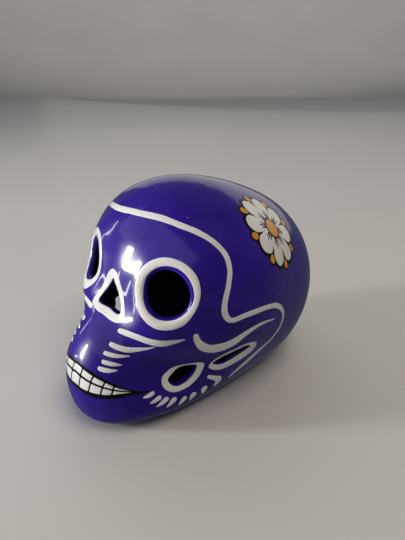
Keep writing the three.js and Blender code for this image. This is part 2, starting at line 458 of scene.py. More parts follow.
@dataclass(frozen=True)
class CastBody:
    """Hollow clay body: an even wall with seven openings whose rims are rubbed round."""

    form: SkullForm = SkullForm()
    openings: tuple[Opening, ...] = (EYE, FAR_EYE, NOSE, CHEEK_HOLE, FAR_CHEEK_HOLE, SLIT, FAR_SLIT)
    outer_fineness: int = 6
    inner_fineness: int = 5
    grain: float = 1.8
    inner_rounding: float = 1.6
    longest_step: float = 0.9
    settle_rounds: int = 6
    rim_zone: float = 4.0
    press_from: float = 15.0
    press_step: float = 0.6
    press_rounds: int = 12
    paint_gap: float = 0.4

    def surface(self, points: np.ndarray) -> tuple[np.ndarray, np.ndarray]:
        """Measure how far points lie from the surface of the clay.

        Args:
            points: one point in each row.

        Returns:
            The distance of each point, negative in the clay, and the outward direction there.
        """
        depth, outward = self.form.depth(points)
        value = np.maximum(depth, -(depth + WALL))
        direction = np.where((depth > -WALL / 2.0)[:, None], outward, -outward)
        for opening in self.openings:
            gap, away = opening.clearance(points)
            for skin, skin_out, rounding in (
                (depth, outward, opening.rounding),
                (-(depth + WALL), -outward, self.inner_rounding),
            ):
                near = np.maximum(rounding - np.abs(skin + gap), 0.0) / rounding
                rim = np.maximum(skin, -gap) + near * near * rounding / 4.0
                share = np.where(skin > -gap, near / 2.0, 1.0 - near / 2.0)[:, None]
                lean = skin_out * (1.0 - share) - away * share
                higher = rim > value
                value = np.where(higher, rim, value)
                direction = np.where(higher[:, None], lean, direction)
        return value, unit(direction)

    def settle(self, points: np.ndarray) -> np.ndarray:
        """Move points the short way onto the surface of the clay."""
        for _ in range(self.settle_rounds):
            value, direction = self.surface(points)
            step = np.clip(value, -self.longest_step, self.longest_step)
            points = points - step[:, None] * direction
        return points

    def press_down(self, opening: Opening, flat: np.ndarray) -> np.ndarray:
        """Find where flat points of an opening's own plane lie on the clay.

        Args:
            opening: the opening whose frame the points are given in.
            flat: one point in each row, across and up.

        Returns:
            The points on the clay, in the frame of the skull.
        """
        alone = replace(self, openings=tuple(each for each in self.openings if each is opening))
        heights = np.arange(self.press_from, -CUT_IN, -self.press_step)
        grid = np.column_stack([np.repeat(flat, len(heights), axis=0), np.tile(heights, len(flat))])
        outside = (alone.surface(opening.world(grid))[0] > 0.0).reshape(len(flat), len(heights))
        first = np.maximum(np.argmin(outside, axis=1), 1)
        high, low = heights[first - 1], heights[first]
        for _ in range(self.press_rounds):
            middle = (low + high) / 2.0
            value = alone.surface(opening.world(np.column_stack([flat, middle])))[0]
            high = np.where(value > 0.0, middle, high)
            low = np.where(value > 0.0, low, middle)
        points = opening.world(np.column_stack([flat, (low + high) / 2.0]))
        return self.keep_clear(points, opening)

    def keep_clear(self, points: np.ndarray, own: Opening | None = None) -> np.ndarray:
        """Move points that lie over an opening to its edge.

        Args:
            points: points on the skin, one in each row.
            own: an opening that the points may reach into.

        Returns:
            The points, all on the clay.
        """
        points = points.copy()
        for opening in self.openings:
            if opening is own:
                continue
            gap, away = opening.clearance(points)
            over = gap < self.paint_gap
            if over.any():
                step = (self.paint_gap - gap[over])[:, None] * away[over]
                points[over] = self.settle(points[over] + step)
        return points

    def shell(self, fineness: int, under: float) -> bmesh.types.BMesh:
        """Make one closed skin of the wall from a ball drawn out to the form.

        Args:
            fineness: how often the ball is divided.
            under: how far the skin lies under the outer one.

        Returns:
            The skin, in metres.
        """
        bm = bmesh.new()
        bmesh.ops.create_icosphere(bm, subdivisions=fineness, radius=1.0)
        directions = unit(np.array([vert.co for vert in bm.verts]))
        for vert, point in zip(bm.verts, self.form.reach(directions, under)):
            vert.co = Vector(point) * MM
        return bm

    def rough_solid(self) -> bpy.types.Mesh:
        """Cut the openings through the wall and lay an even net of faces over the result."""
        outer = self.shell(self.outer_fineness, 0.0)
        inner = self.shell(self.inner_fineness, WALL)
        bmesh.ops.reverse_faces(inner, faces=inner.faces)
        clay = loose_object("rough_clay", outer)
        lining = bpy.data.meshes.new("rough_lining")
        inner.to_mesh(lining)
        inner.free()
        bm = bmesh.new()
        bm.from_mesh(clay.data)
        bm.from_mesh(lining)
        bm.to_mesh(clay.data)
        bm.free()
        helpers = [clay]
        for opening in self.openings:
            cutter = loose_object("cutter_" + opening.name, opening.plug())
            helpers.append(cutter)
            cut = clay.modifiers.new(opening.name, "BOOLEAN")
            cut.operation = "DIFFERENCE"
            cut.solver = "EXACT"
            cut.object = cutter
        net = clay.modifiers.new("net", "REMESH")
        net.mode = "VOXEL"
        net.voxel_size = self.grain * MM
        bpy.context.view_layer.update()
        finished = clay.evaluated_get(bpy.context.evaluated_depsgraph_get())
        mesh = bpy.data.meshes.new_from_object(finished)
        forget(helpers)
        bpy.data.meshes.remove(lining)
        return mesh


def loose_object(name: str, bm: bmesh.types.BMesh) -> bpy.types.Object:
    """Turn a bmesh into an object of the scene and free the bmesh."""
    mesh = bpy.data.meshes.new(name)
    bm.to_mesh(mesh)
    bm.free()
    item = bpy.data.objects.new(name, mesh)
    bpy.context.scene.collection.objects.link(item)
    return item


def forget(helpers: Sequence[bpy.types.Object]) -> None:
    """Remove helper objects and their meshes."""
    for helper in helpers:
        data = helper.data
        bpy.data.objects.remove(helper)
        bpy.data.meshes.remove(data)


@dataclass(frozen=True)
class Stroke:
    """One stroke of a loaded brush.

    Its points are bearing and rise from the heart, in degrees, each with the stroke's width in millimetres.
    The tail says how dry the brush is at the end, from 0 to 1.
    """

    points: tuple[Triple, ...]
    tail: float = 0.0
    paint: Paint = Paint.WHITE
    thickness: float = 0.06

    def mirrored(self, shift: Pair = (0.0, 0.0)) -> "Stroke":
        """Return the stroke on the other side of the face, moved by some degrees of bearing and rise."""
        points = tuple((shift[0] - bearing, rise + shift[1], width) for bearing, rise, width in self.points)
        return replace(self, points=points)

    def trace(self, body: CastBody) -> tuple[np.ndarray, np.ndarray]:
        """Return the middle line on the clay and the width along it."""
        curve = open_curve(self.points, STROKE_STEPS)
        return body.form.seen_at(curve[:, 0], curve[:, 1]), curve[:, 2]


@dataclass(frozen=True)
class Petal:
    """One leaf-shaped dab of paint beside a place on the clay, given across and up from it."""

    place: Opening
    points: tuple[Triple, ...]
    paint: Paint
    thickness: float
    tail: float = 0.0

    def trace(self, body: CastBody) -> tuple[np.ndarray, np.ndarray]:
        """Return the middle line on the clay and the width along it."""
        curve = open_curve(self.points, STROKE_STEPS)
        return body.press_down(self.place, curve[:, :2]), curve[:, 2]


@dataclass(frozen=True)
class Ring:
    """Closed band of paint between two outlines around a place on the clay."""

    place: Opening
    inner: tuple[Pair, ...]
    outer: tuple[Pair, ...]
    paint: Paint = Paint.WHITE
    thickness: float = 0.08
    rows: int = 120

    def mirrored(self, place: Opening) -> "Ring":
        """Return the same band around the place on the other side."""
        return replace(self, place=place, inner=flipped(self.inner), outer=flipped(self.outer))

    def radius(self, outline: tuple[Pair, ...], turn: np.ndarray) -> np.ndarray:
        """Return how far an outline lies from the middle in each direction."""
        curve = closed_curve(outline, BAND_STEPS)
        angle = np.mod(np.arctan2(curve[:, 1], curve[:, 0]), 2.0 * math.pi)
        order = np.argsort(angle)
        far = np.hypot(curve[:, 0], curve[:, 1])[order]
        return np.interp(turn, angle[order], far, period=2.0 * math.pi)


@dataclass
class PaintLayer:
    """All the strokes, bands and patches of paint, laid on the clay as thin sheets, in millimetres.

    The hand swerves in waves, each with its share, its pitch along the way and its shift from sheet to sheet.
    """

    body: CastBody
    bm: bmesh.types.BMesh = field(default_factory=bmesh.new)
    columns: int = 10
    fewest_rows: int = 14
    spacing: float = 1.1
    sink: float = 0.12
    side_power: float = 8.0
    end_power: float = 24.0
    swerve: float = 0.12
    swerve_waves: tuple[Triple, ...] = ((1.0, 0.31, 2.1), (0.6, 0.73, 4.7), (0.35, 1.9, 1.3))
    stroke_swerve: float = 0.6
    stroke_swell: float = 0.05
    swell_seed: float = 9.0
    calm_end: float = 3.0
    look_ahead: float = 0.3
    thin_under: float = 0.5
    dry_from: float = 0.55
    band_radius: float = 12.0
    inner_swerve: float = 0.5
    inner_seed: float = 5.0
    patch_length: float = 10.0
    map_scale: float = 0.1
    map_jump: float = 7.3
    weld: float = 0.001
    count: int = 0

    def __post_init__(self) -> None:
        """Give the sheets their brush map and their tail mask."""
        self.brush_map = self.bm.loops.layers.uv.new("brush")
        self.tail_mask = self.bm.verts.layers.float.new("tail")

    def sheet(self, rows: int, columns: int) -> tuple[list, np.ndarray, np.ndarray]:
        """Start a sheet of paint as a flat grid.

        Args:
            rows: number of faces along the stroke.
            columns: number of faces across it.

        Returns:
            The vertices, their place along (0 to 1) and their place across (-1 to 1).
        """
        grid = bmesh.ops.create_grid(self.bm, x_segments=rows, y_segments=columns, size=1.0)
        verts = grid["verts"]
        flat = np.array([vert.co[:2] for vert in verts])
        return verts, (flat[:, 0] + 1.0) / 2.0, np.sin(flat[:, 1] * math.pi / 2.0)

    def lay(self, verts: list, points: np.ndarray, cover: np.ndarray, thickness: float) -> None:
        """Put the vertices of a sheet on the clay.

        Args:
            verts: vertices of the sheet.
            points: where each one lies on the clay.
            cover: how full the paint is there, from 0 at an edge to 1.
            thickness: height of the full paint over the clay.
        """
        outward = self.body.surface(points)[1]
        height = (thickness + self.sink) * cover - self.sink
        for vert, point in zip(verts, points + height[:, None] * outward):
            vert.co = Vector(point) * MM

    def dress(
        self, verts: list, along: np.ndarray, across: np.ndarray, tail: np.ndarray, paint: Paint,
    ) -> None:
        """Give a sheet its paint, brush map and tail mask, and turn its faces outwards.

        Args:
            verts: vertices of the sheet.
            along: distance along the stroke.
            across: place across the stroke, from -1 to 1.
            tail: how dry the brush is at each vertex, from 0 to 1.
            paint: the paint of the sheet.
        """
        index = {vert: number for number, vert in enumerate(verts)}
        faces = {face for vert in verts for face in vert.link_faces}
        start = self.count * self.map_jump
        for face in faces:
            face.material_index = paint.value
            face.smooth = True
            for loop in face.loops:
                number = index[loop.vert]
                loop[self.brush_map].uv = (along[number] * self.map_scale + start, across[number] / 2.0 + 0.5)
        for vert, dryness in zip(verts, tail):
            vert[self.tail_mask] = dryness
        self.turn_outwards(faces)
        self.count += 1

    def turn_outwards(self, faces: set) -> None:
        """Turn the faces of one sheet so that they look away from the clay."""
        middles = np.array([face.calc_center_median() for face in faces]) / MM
        outward = self.body.form.depth(middles)[1]
        for face in faces:
            face.normal_update()
        normals = np.array([face.normal for face in faces])
        if (normals * outward).sum() < 0.0:
            bmesh.ops.reverse_faces(self.bm, faces=list(faces))

    def unsteady(self, along: np.ndarray, seed: float) -> np.ndarray:
        """Return the small swerve of a hand-held brush along its way."""
        total = sum(share * np.sin(along * pitch + seed * shift) for share, pitch, shift in self.swerve_waves)
        return self.swerve * total / 2.0

    def stroke(self, stroke: Stroke | Petal) -> None:
        """Lay one stroke with its round, tapering ends."""
        line, widths = stroke.trace(self.body)
        steps = np.linalg.norm(np.diff(line, axis=0), axis=1)
        travelled = np.concatenate([[0.0], np.cumsum(steps)])
        length = travelled[-1]
        rows = max(self.fewest_rows, int(length / self.spacing))
        verts, share, across = self.sheet(rows, self.columns)
        along = (1.0 - np.cos(math.pi * share)) / 2.0 * length
        half = np.interp(along, travelled, widths) / 2.0
        half = half * round_end(along, widths[0] / 2.0) * round_end(length - along, widths[-1] / 2.0)
        offset = self.by_hand(across * half, along, length)
        middle = spots_between(line, travelled, along)
        way = spots_between(line, travelled, along + self.look_ahead)
        way = way - spots_between(line, travelled, along - self.look_ahead)
        sideways = unit(np.cross(self.body.form.depth(middle)[1], way))
        points = self.body.keep_clear(self.body.form.settle(middle + offset[:, None] * sideways))
        cover = self.side_cover(across) * np.clip(half / self.thin_under, 0.0, 1.0)
        self.lay(verts, points, cover, stroke.thickness)
        dryness = np.clip((along / length - self.dry_from) / (1.0 - self.dry_from), 0.0, 1.0) * stroke.tail
        self.dress(verts, along, across, dryness, stroke.paint)

    def by_hand(self, offset: np.ndarray, along: np.ndarray, length: float) -> np.ndarray:
        """Make the even sides of a stroke a little unsteady.

        Args:
            offset: distance of each vertex from the middle line.
            along: its distance along the stroke.
            length: length of the stroke.

        Returns:
            The distance from the middle line that a hand would give it.
        """
        seed = float(self.count)
        calm = round_end(along, self.calm_end) * round_end(length - along, self.calm_end)
        swell = 1.0 + self.stroke_swell * self.unsteady(along, seed + self.swell_seed) / self.swerve
        return offset * swell + self.unsteady(along, seed) * self.stroke_swerve * calm

    def side_cover(self, across: np.ndarray) -> np.ndarray:
        """Return how full the paint is across a sheet, from 0 at its sides to 1."""
        return np.sqrt(1.0 - np.abs(across) ** self.side_power)

    def ring(self, ring: Ring) -> None:
        """Lay one closed band around an opening."""
        verts, share, across = self.sheet(ring.rows, self.columns)
        turn = share * 2.0 * math.pi
        seed = float(self.count)
        around = turn * self.band_radius
        ease = np.sin(math.pi * share) ** 2
        outer = ring.radius(ring.outer, turn) + self.unsteady(around, seed) * ease
        inner = ring.radius(ring.inner, turn)
        inner = inner + self.inner_swerve * self.unsteady(around, seed + self.inner_seed) * ease
        radius = inner + (outer - inner) * (across + 1.0) / 2.0
        flat = np.stack([radius * np.cos(turn), radius * np.sin(turn)], axis=-1)
        self.lay(verts, self.body.press_down(ring.place, flat), self.side_cover(across), ring.thickness)
        self.dress(verts, turn * radius.mean(), across, np.zeros(len(verts)), ring.paint)
        bmesh.ops.remove_doubles(self.bm, verts=verts, dist=self.weld * MM)

    def patch(self, place: Callable, rows: int, columns: int, paint: Paint, thickness: float) -> None:
        """Lay one filled patch.

        Args:
            place: gives bearing and rise for a place along (0 to 1) and across (-1 to 1).
            rows: number of faces along the patch.
            columns: number of faces across it.
            paint: the paint of the patch.
            thickness: height of the paint over the clay.
        """
        verts, share, across = self.sheet(rows, columns)
        along = np.sin((share * 2.0 - 1.0) * math.pi / 2.0)
        bearing, rise = place((along + 1.0) / 2.0, across)
        points = self.body.form.seen_at(bearing, rise)
        cover = self.side_cover(across) * np.sqrt(1.0 - np.abs(along) ** self.end_power)
        self.lay(verts, points, cover, thickness)
        self.dress(verts, share * self.patch_length, across, np.zeros(len(verts)), paint)


def spots_between(line: np.ndarray, travelled: np.ndarray, along: np.ndarray) -> np.ndarray:
    """Find points on a line.

    Args:
        line: points of the line, one row each.
        travelled: distance along the line at each of them.
        along: distances that are asked for.

    Returns:
        The point of the line at each distance.
    """
    return np.stack([np.interp(along, travelled, line[:, axis]) for axis in range(3)], axis=-1)


def round_end(distance: np.ndarray, radius: float) -> np.ndarray:
    """Return the share of its full width that a stroke has at a distance from its round end."""
    inside = np.clip(distance / max(radius, TINY), 0.0, 1.0)
    return np.sqrt(np.maximum(1.0 - (1.0 - inside) ** 2, 0.0))


@dataclass(frozen=True)
class Mouth:
    """Painted mouth: a black shape with two rows of white teeth.

    Each curve gives rise over bearing, in degrees, and the far half repeats the near one about the middle.
    """

    middle: float = 1.2
    tip: float = 33.2
    top_edge: tuple[Pair, ...] = (
        (1.2, -6.3), (5.4, -6.8), (11.4, -8.2), (16.8, -10.5), (20.1, -12.5),
        (23.4, -14.7), (26.5, -16.5), (33.2, -19.9),
    )
    low_edge: tuple[Pair, ...] = (
        (1.2, -17.5), (8.9, -18.0), (14.4, -18.1), (18.8, -17.8), (23.3, -17.6),
        (26.8, -18.0), (30.3, -19.1), (33.2, -20.1),
    )
    tooth_top: tuple[Pair, ...] = (
        (1.2, -8.1), (4.7, -8.4), (10.5, -9.7), (15.5, -11.4), (19.1, -13.1), (23.7, -15.4), (26.0, -16.7),
    )
    tooth_middle: tuple[Pair, ...] = (
        (1.2, -10.9), (4.6, -11.3), (9.7, -12.1), (15.0, -13.2), (18.8, -14.2), (23.9, -15.8), (26.0, -16.8),
    )
    tooth_low: tuple[Pair, ...] = (
        (1.2, -15.5), (3.5, -15.8), (9.0, -16.0), (14.5, -16.1), (18.3, -16.0), (21.5, -16.0),
        (25.5, -16.6), (26.0, -16.9),
    )
    seams_top: tuple[float, ...] = (-22.6, -18.2, -13.6, -8.3, -1.2, 4.7, 10.5, 15.5, 19.1, 25.6)
    seams_low: tuple[float, ...] = (-22.6, -18.6, -14.6, -9.2, -2.4, 3.5, 8.8, 14.2, 18.4, 25.6)
    seam_width: float = 0.4
    lowest_tooth: float = 0.02
    curve_steps: int = 8
    lips_grid: tuple[int, int] = (70, 16)
    lips_coat: float = 0.03
    tooth_grid: tuple[int, int] = (8, 8)
    tooth_coat: float = 0.065

    def height(self, curve: tuple[Pair, ...], bearing: np.ndarray) -> np.ndarray:
        """Return the rise of one curve at each bearing."""
        smooth = open_curve(curve, self.curve_steps)
        folded = self.middle + np.abs(bearing - self.middle)
        return np.interp(folded, smooth[:, 0], smooth[:, 1])

    def lips(self, share: np.ndarray, across: np.ndarray) -> tuple[np.ndarray, np.ndarray]:
        """Return bearing and rise of the black shape."""
        bearing = self.middle + (share * 2.0 - 1.0) * (self.tip - self.middle)
        top = self.height(self.top_edge, bearing)
        low = self.height(self.low_edge, bearing)
        return bearing, low + (top - low) * (across + 1.0) / 2.0

    def tooth(self, column: int, upper: bool) -> Callable:
        """Make the placing of one tooth.

        Args:
            column: number of the tooth along the row.
            upper: whether it stands in the upper row.

        Returns:
            A function that gives bearing and rise inside the tooth.
        """
        gap = self.seam_width / 2.0

        def place(share: np.ndarray, across: np.ndarray) -> tuple[np.ndarray, np.ndarray]:
            """Return bearing and rise inside the tooth."""
            top_left, top_right = self.seams_top[column] + gap, self.seams_top[column + 1] - gap
            low_left, low_right = self.seams_low[column] + gap, self.seams_low[column + 1] - gap
            fall = (1.0 - (across + 1.0) / 2.0) * 0.5 + (0.0 if upper else 0.5)
            left = top_left + (low_left - top_left) * fall
            right = top_right + (low_right - top_right) * fall
            bearing = left + (right - left) * share
            middle = self.height(self.tooth_middle, bearing)
            if upper:
                low, high = middle + gap, self.height(self.tooth_top, bearing)
            else:
                low, high = self.height(self.tooth_low, bearing), middle - gap
            high = np.maximum(high, low + self.lowest_tooth)
            return bearing, low + (high - low) * (across + 1.0) / 2.0

        return place

    def paint_on(self, layer: PaintLayer) -> None:
        """Paint the lips first and the teeth over them."""
        layer.patch(self.lips, *self.lips_grid, Paint.BLACK, self.lips_coat)
        for column in range(len(self.seams_top) - 1):
            for upper in (True, False):
                layer.patch(self.tooth(column, upper), *self.tooth_grid, Paint.WHITE, self.tooth_coat)


@dataclass(frozen=True)
class Drop:
    """Drop of paint between two petals.

    It starts at a share of the petals' reach, ends some millimetres past it, and has its widths on the way.
    """

    start: float
    past: float
    widths: tuple[float, ...]
    paint: Paint
    coat: float


@dataclass(frozen=True)
class PaintedFlower:
    """Traditional flower on the side of the cranium, in millimetres.

    A dark ground carries white petals with hairs, gold drops between them and a gold heart. Each coat is the
    height of its paint over the clay, so that later ones lie over earlier ones.
    """

    place: Opening
    petals: int = 8
    first_petal: float = 0.25
    first_drop: float = 0.75
    reach: float = 19.4
    root: float = 4.0
    outline: float = 1.8
    petal_width: float = 11.4
    petal_shape: tuple[float, ...] = (0.32, 0.66, 0.92, 1.0, 0.84)
    ground: float = 0.97
    ground_coat: float = 0.02
    ground_rows: int = 60
    outline_coat: float = 0.03
    outline_coat_step: float = 0.003
    drops: tuple[Drop, ...] = (
        Drop(0.8, 2.4, (3.0, 6.2, 7.0, 5.4), Paint.BLACK, coat=0.055),
        Drop(0.84, 1.4, (1.6, 4.0, 4.8, 3.6), Paint.GOLD, coat=0.075),
    )
    petal_coat: float = 0.08
    hair_start: float = 1.5
    hair_ends: tuple[Pair, ...] = ((-0.17, 0.62), (0.0, 0.72), (0.17, 0.62))
    hair_widths: tuple[float, ...] = (1.4, 1.1, 0.9, 0.5)
    hair_coat: float = 0.095
    heart: tuple[tuple[float, Paint, float], ...] = ((6.4, Paint.BLACK, 0.11), (5.3, Paint.GOLD, 0.14))
    heart_rows: int = 40
    pinhole: float = 0.05
    corners: int = 12

    def ray(self, turn: float, start: float, end: float, widths: Sequence[float]) -> tuple[Triple, ...]:
        """Return the points of a petal that points away from the middle."""
        spots = np.linspace(start, end, len(widths))
        across, up = math.cos(turn), math.sin(turn)
        return tuple((spot * across, spot * up, width) for spot, width in zip(spots, widths))

    def turns(self, first: float) -> list[float]:
        """Return the directions of the petals or drops, in radians."""
        return [2.0 * math.pi / self.petals * (index + first) for index in range(self.petals)]

    def disc(self, layer: PaintLayer, radius: float, paint: Paint, coat: float, rows: int) -> None:
        """Paint a round spot in the middle of the flower."""
        pinhole = circle(self.pinhole, self.corners)
        layer.ring(Ring(self.place, pinhole, circle(radius, self.corners), paint, coat, rows))

    def paint_on(self, layer: PaintLayer) -> None:
        """Paint the dark ground first, then the drops, the petals and the heart."""
        self.disc(layer, self.ground * self.reach, Paint.BLACK, self.ground_coat, self.ground_rows)
        shape = tuple(share * self.petal_width for share in self.petal_shape)
        dark = tuple(width + 2.0 * self.outline for width in shape)
        for index, turn in enumerate(self.turns(self.first_petal)):
            outline = self.ray(turn, self.root, self.reach + self.outline, dark)
            coat = self.outline_coat + self.outline_coat_step * index
            layer.stroke(Petal(self.place, outline, Paint.BLACK, coat))
        for turn in self.turns(self.first_drop):
            for drop in self.drops:
                points = self.ray(turn, self.reach * drop.start, self.reach + drop.past, drop.widths)
                layer.stroke(Petal(self.place, points, drop.paint, drop.coat))
        for turn in self.turns(self.first_petal):
            petal = self.ray(turn, self.root, self.reach, shape)
            layer.stroke(Petal(self.place, petal, Paint.WHITE, self.petal_coat))
            for lean, end in self.hair_ends:
                hair = self.ray(turn + lean, self.root + self.hair_start, self.reach * end, self.hair_widths)
                layer.stroke(Petal(self.place, hair, Paint.BLACK, self.hair_coat))
        for radius, paint, coat in self.heart:
            self.disc(layer, radius, paint, coat, self.heart_rows)


@dataclass(frozen=True)
class FacePainting:
    """White linework of the face, as it lies on the figure's left side, and what differs on the right."""

    whiskers: tuple[Stroke, ...] = (
        Stroke((
            (14.1, 8.0, 2.6), (26.4, 7.4, 3.3), (37.9, 5.8, 3.9), (44.8, 7.0, 2.3), (50.1, 8.3, 0.5),
        ), tail=0.7),
        Stroke((
            (12.7, 2.5, 2.3), (17.1, 1.2, 2.8), (22.5, 0.3, 2.7), (28.7, 1.3, 1.9), (35.4, 3.6, 0.5),
        ), tail=0.8),
        Stroke(((11.7, -1.1, 2.2), (17.3, -2.0, 2.1), (24.0, -2.6, 0.4)), tail=0.8),
        Stroke(((12.2, -4.1, 2.1), (16.6, -5.0, 2.1), (20.9, -5.8, 0.4)), tail=0.8),
        Stroke(((11.4, -6.5, 2.3), (15.4, -7.2, 2.3), (19.5, -7.5, 0.5)), tail=0.8),
    )
    far_whisker_shift: Pair = (1.2, 2.0)
    swoosh: Stroke = Stroke((
        (54.7, 10.8, 2.2), (56.1, 5.7, 3.6), (61.1, -0.4, 6.4), (67.5, -2.1, 7.9),
        (73.9, 0.0, 6.7), (81.3, 5.6, 4.2), (89.4, 7.9, 2.5), (101.3, 5.7, 0.7),
    ), tail=0.6)
    jaw_drops: tuple[Stroke, ...] = (
        Stroke(((34.0, -20.6, 2.4), (31.6, -20.5, 1.9), (29.7, -20.1, 0.5))),
        Stroke(((37.1, -23.4, 2.6), (34.6, -23.5, 2.1), (32.6, -23.3, 0.5))),
        Stroke(((40.3, -25.5, 3.1), (37.4, -26.1, 2.3), (35.1, -26.3, 0.6))),
        Stroke(((44.0, -27.6, 3.4), (41.4, -28.9, 2.5), (39.2, -29.8, 0.7))),
        Stroke(((49.5, -30.4, 3.8), (47.1, -32.0, 2.8), (45.1, -33.1, 0.8))),
        Stroke(((55.0, -31.3, 4.4), (53.1, -33.4, 3.2), (51.5, -35.2, 0.9))),
        Stroke(((61.6, -31.3, 4.6), (61.2, -34.2, 3.6), (60.5, -36.7, 0.9))),
    )
    chevron: Stroke = Stroke(((63.3, -25.6, 2.0), (69.2, -29.3, 3.2), (72.8, -32.7, 4.6), (68.8, -35.8, 1.2)))
    temple_top: Pair = (64.2, 3.4)
    temple_half: tuple[Triple, ...] = (
        (31.7, 61.7, 3.4), (48.2, 57.8, 3.1), (61.9, 52.4, 2.8), (68.5, 47.6, 2.6), (72.0, 42.3, 2.5),
        (72.3, 37.1, 2.4), (70.8, 31.8, 2.5), (68.5, 25.4, 2.6), (68.3, 20.1, 3.0), (71.3, 15.9, 3.2),
        (78.7, 16.7, 3.2), (92.3, 16.1, 3.1), (102.1, 12.4, 2.8), (109.3, 5.0, 2.2), (110.7, -2.6, 1.8),
        (107.6, -10.2, 2.2), (101.8, -16.9, 3.6), (94.3, -26.6, 4.2), (81.9, -35.4, 1.2),
    )
    far_line_drop: float = 2.4
    far_drop_from: float = 40.0
    far_drop_over: float = 20.0
    eye_inner: tuple[Pair, ...] = (
        (13.2, 1.5), (11.4, 7.2), (6.8, 11.6), (0.6, 12.9), (-5.4, 11.0), (-9.8, 6.6),
        (-11.3, 0.8), (-10.2, -5.2), (-6.2, -9.7), (-0.4, -11.5), (6.2, -9.9), (11.4, -4.8),
    )
    eye_outer: tuple[Pair, ...] = (
        (15.9, 3.4), (13.6, 10.4), (7.4, 15.2), (-1.0, 16.6), (-8.9, 13.9), (-14.3, 7.9),
        (-15.8, 0.1), (-12.4, -9.3), (-5.8, -14.5), (1.5, -15.8), (9.2, -12.8), (14.4, -4.7),
    )
    far_eye_inner: tuple[Pair, ...] = circle(11.6, 12)
    far_eye_outer: tuple[Pair, ...] = (
        (15.8, 0.6), (13.6, 9.0), (6.8, 14.9), (-1.8, 16.2), (-9.8, 13.2), (-15.0, 6.4),
        (-15.6, -2.0), (-12.0, -10.0), (-5.0, -15.2), (2.6, -17.4), (8.6, -13.6), (13.6, -7.0),
    )
    nose_inner: tuple[Pair, ...] = (
        (0.0, 10.5), (1.5, 8.6), (9.3, -3.0), (8.7, -4.4),
        (0.0, -4.4), (-8.7, -4.4), (-9.3, -3.0), (-1.5, 8.6),
    )
    nose_outer: tuple[Pair, ...] = (
        (0.0, 15.4), (3.0, 14.0), (6.5, 9.0), (9.9, 2.4), (13.6, -4.6), (12.2, -7.6),
        (0.0, -8.2), (-12.0, -7.5), (-13.7, -5.6), (-9.9, 2.4), (-6.5, 9.0), (-3.0, 14.0),
    )
    cheek_inner: tuple[Pair, ...] = (
        (-6.5, -1.1), (-3.7, 2.3), (0.3, 5.0), (7.7, 4.1), (6.5, -0.2), (2.0, -3.8), (-3.3, -4.5),
    )
    cheek_outer: tuple[Pair, ...] = (
        (-9.4, 0.9), (-4.5, 5.3), (2.5, 6.3), (11.3, 4.6),
        (9.6, -2.0), (3.5, -6.5), (-5.5, -6.9), (-9.6, -3.1),
    )
    slit_inner: tuple[Pair, ...] = (
        (-9.9, -3.6), (-6.6, -0.5), (-2.1, 2.4), (6.0, 5.9), (9.3, 3.3), (0.8, -3.6), (-5.3, -5.6),
    )
    slit_outer: tuple[Pair, ...] = (
        (-12.1, -5.1), (-10.1, -1.6), (-2.5, 4.4), (5.0, 8.0), (12.6, 5.2), (12.7, -2.8),
        (3.6, -8.5), (-5.2, -9.5), (-10.5, -7.2),
    )
    far_slit_band: Pair = (0.6, 2.3)

    def temple_line(self) -> Stroke:
        """Return the line that runs from one cheek over the forehead to the other, lower on the far side."""
        right = []
        for bearing, rise, width in reversed(self.temple_half):
            share = min(max((rise - self.far_drop_from) / self.far_drop_over, 0.0), 1.0)
            right.append((-bearing, rise - self.far_line_drop * share, width))
        top, top_width = self.temple_top
        middle = (0.0, top - self.far_line_drop / 2.0, top_width)
        return Stroke(tuple(right) + (middle,) + self.temple_half)

    def paint_on(self, layer: PaintLayer) -> None:
        """Paint the lines, the drops and the bands of both sides."""
        for whisker in self.whiskers:
            layer.stroke(whisker)
            layer.stroke(whisker.mirrored(self.far_whisker_shift))
        for stroke in (self.swoosh,) + self.jaw_drops:
            layer.stroke(stroke)
            layer.stroke(stroke.mirrored())
        layer.stroke(self.chevron)
        layer.stroke(self.temple_line())
        cheek = Ring(CHEEK_HOLE, self.cheek_inner, self.cheek_outer)
        inner, outer = (self.far_slit_grown(margin) for margin in self.far_slit_band)
        for band in (
            Ring(EYE, self.eye_inner, self.eye_outer),
            Ring(FAR_EYE, self.far_eye_inner, self.far_eye_outer),
            Ring(NOSE, self.nose_inner, self.nose_outer),
            cheek,
            cheek.mirrored(FAR_CHEEK_HOLE),
            Ring(SLIT, self.slit_inner, self.slit_outer),
            Ring(FAR_SLIT, inner, outer),
        ):
            layer.ring(band)

    def far_slit_grown(self, margin: float) -> tuple[Pair, ...]:
        """Return the far slit's outline, grown by a margin."""
        grown = []
        for across, up in FAR_SLIT.outline:
            share = 1.0 + margin / math.hypot(across, up)
            grown.append((across * share, up * share))
        return tuple(grown)


